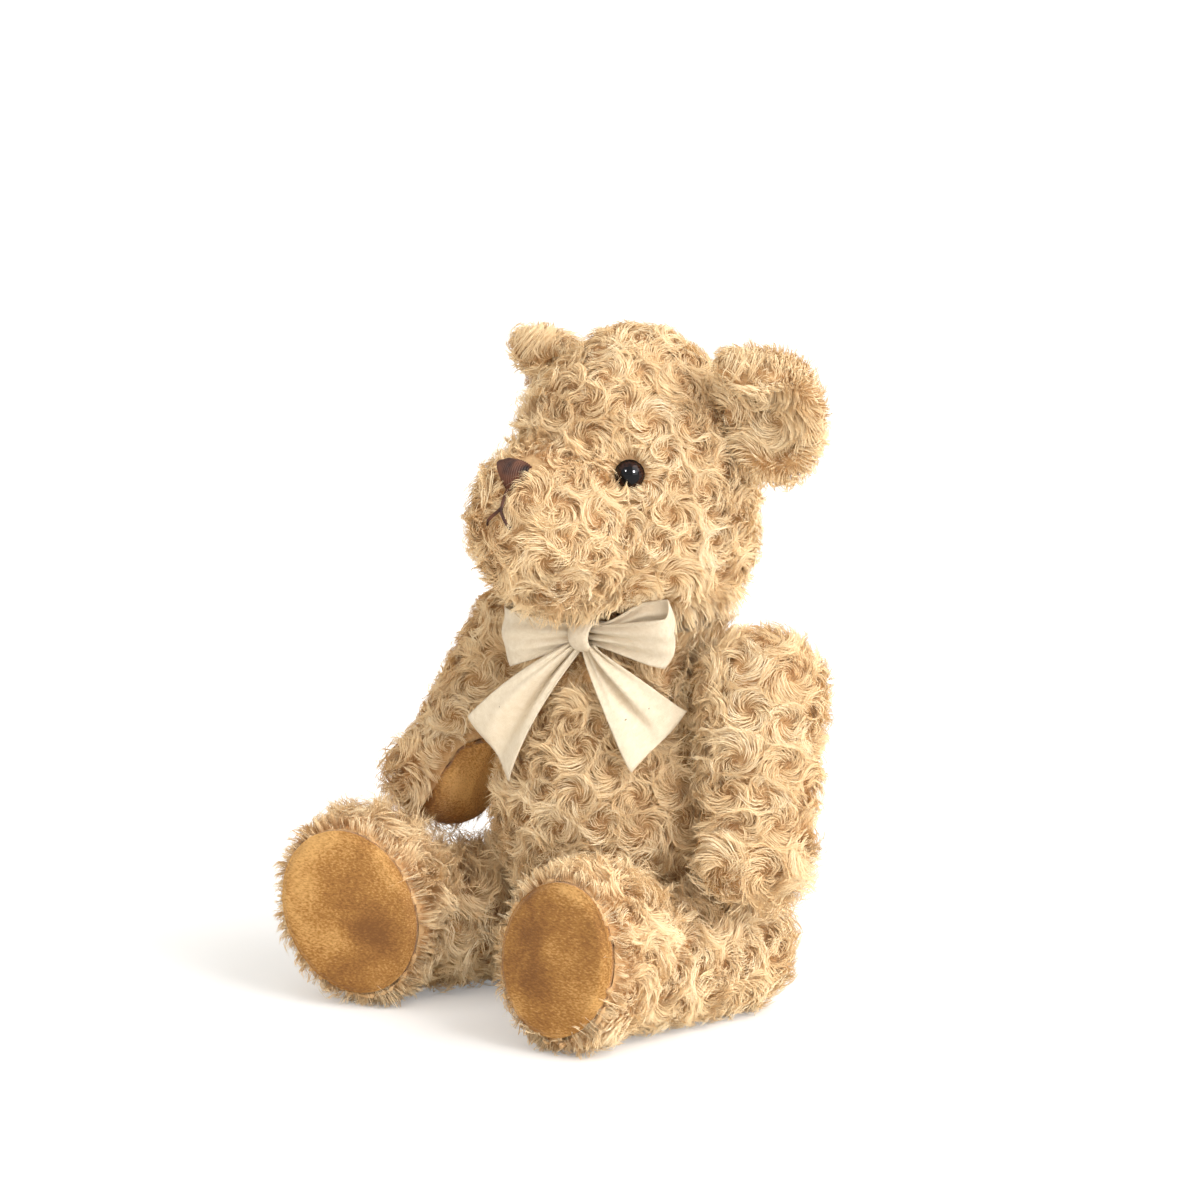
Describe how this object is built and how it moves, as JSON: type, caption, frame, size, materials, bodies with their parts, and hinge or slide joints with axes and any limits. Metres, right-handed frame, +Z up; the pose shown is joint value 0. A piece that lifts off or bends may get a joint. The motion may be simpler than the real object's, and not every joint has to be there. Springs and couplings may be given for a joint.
{
  "type": "jointed teddy bear",
  "caption": "Sitting plush bear in swirled fur with suede soles and hand pads and a neck bow; its head, arms and legs turn on disc joints.",
  "frame": {"origin": "middle of the flat seat under the body, on the surface the bear sits on, below the neck's axis", "axes": "+Z up along the neck's axis, the bear faces -Y, its own left side is +X"},
  "size_m": [0.1964, 0.1711, 0.2721],
  "materials": {
    "fur": "swirled rose plush, beige",
    "suede": "short napped suede cloth, tan",
    "stuffing": "loose polyester fill",
    "eye": "polished, black with a dark brown rim",
    "thread": "satin-stitched embroidery, dark brown",
    "ribbon": "unbleached calico, plain weave with flecks",
    "joint_plastic": "moulded, natural white"
  },
  "bodies": {
    "torso": {"body_left_panel": "fur", "body_right_panel": "fur", "body_stuffing": "stuffing", "bow_knot": "ribbon", "bow_left_loop": "ribbon", "bow_left_tail": "ribbon", "bow_right_loop": "ribbon", "bow_right_tail": "ribbon", "left_hip_washer_disc": "joint_plastic", "left_shoulder_washer_disc": "joint_plastic", "neck_ribbon": "ribbon", "neck_washer_disc": "joint_plastic", "right_hip_washer_disc": "joint_plastic", "right_shoulder_washer_disc": "joint_plastic"},
    "head": {"head_gusset": "fur", "head_left_panel": "fur", "head_right_panel": "fur", "head_stuffing": "stuffing", "left_ear_back_panel": "fur", "left_ear_front_panel": "fur", "left_eye": "eye", "left_eye_washer": "joint_plastic", "mouth_stitching": "thread", "neck_disc": "joint_plastic", "neck_lock_washer": "joint_plastic", "nose_stitching": "thread", "right_ear_back_panel": "fur", "right_ear_front_panel": "fur", "right_eye": "eye", "right_eye_washer": "joint_plastic"},
    "left_arm": {"left_arm_inner_panel": "fur", "left_arm_outer_panel": "fur", "left_arm_stuffing": "stuffing", "left_hand_pad": "suede", "left_shoulder_disc": "joint_plastic", "left_shoulder_lock_washer": "joint_plastic"},
    "right_arm": {"right_arm_inner_panel": "fur", "right_arm_outer_panel": "fur", "right_arm_stuffing": "stuffing", "right_hand_pad": "suede", "right_shoulder_disc": "joint_plastic", "right_shoulder_lock_washer": "joint_plastic"},
    "left_leg": {"left_hip_disc": "joint_plastic", "left_hip_lock_washer": "joint_plastic", "left_leg_inner_panel": "fur", "left_leg_outer_panel": "fur", "left_leg_stuffing": "stuffing", "left_sole": "suede"},
    "right_leg": {"right_hip_disc": "joint_plastic", "right_hip_lock_washer": "joint_plastic", "right_leg_inner_panel": "fur", "right_leg_outer_panel": "fur", "right_leg_stuffing": "stuffing", "right_sole": "suede"}
  },
  "joints": [
    {"name": "neck_turn", "type": "hinge", "parent": "torso", "child": "head", "pos_m": [0, 0, 0.158], "axis": [0, 0, 1], "continuous": true},
    {"name": "left_shoulder_turn", "type": "hinge", "parent": "torso", "child": "left_arm", "pos_m": [0.045, 0.005, 0.127], "axis": [-0.9816, 0, -0.1908], "range_deg": [-59, 96]},
    {"name": "right_shoulder_turn", "type": "hinge", "parent": "torso", "child": "right_arm", "pos_m": [-0.045, 0.005, 0.127], "axis": [-0.9816, 0, 0.1908], "range_deg": [-80, 75]},
    {"name": "left_hip_turn", "type": "hinge", "parent": "torso", "child": "left_leg", "pos_m": [0.027, 0, 0.027], "axis": [0.9976, 0.0698, 0], "range_deg": [0, 90]},
    {"name": "right_hip_turn", "type": "hinge", "parent": "torso", "child": "right_leg", "pos_m": [-0.027, 0, 0.027], "axis": [0.9976, -0.0698, 0], "range_deg": [0, 90]}
  ]
}
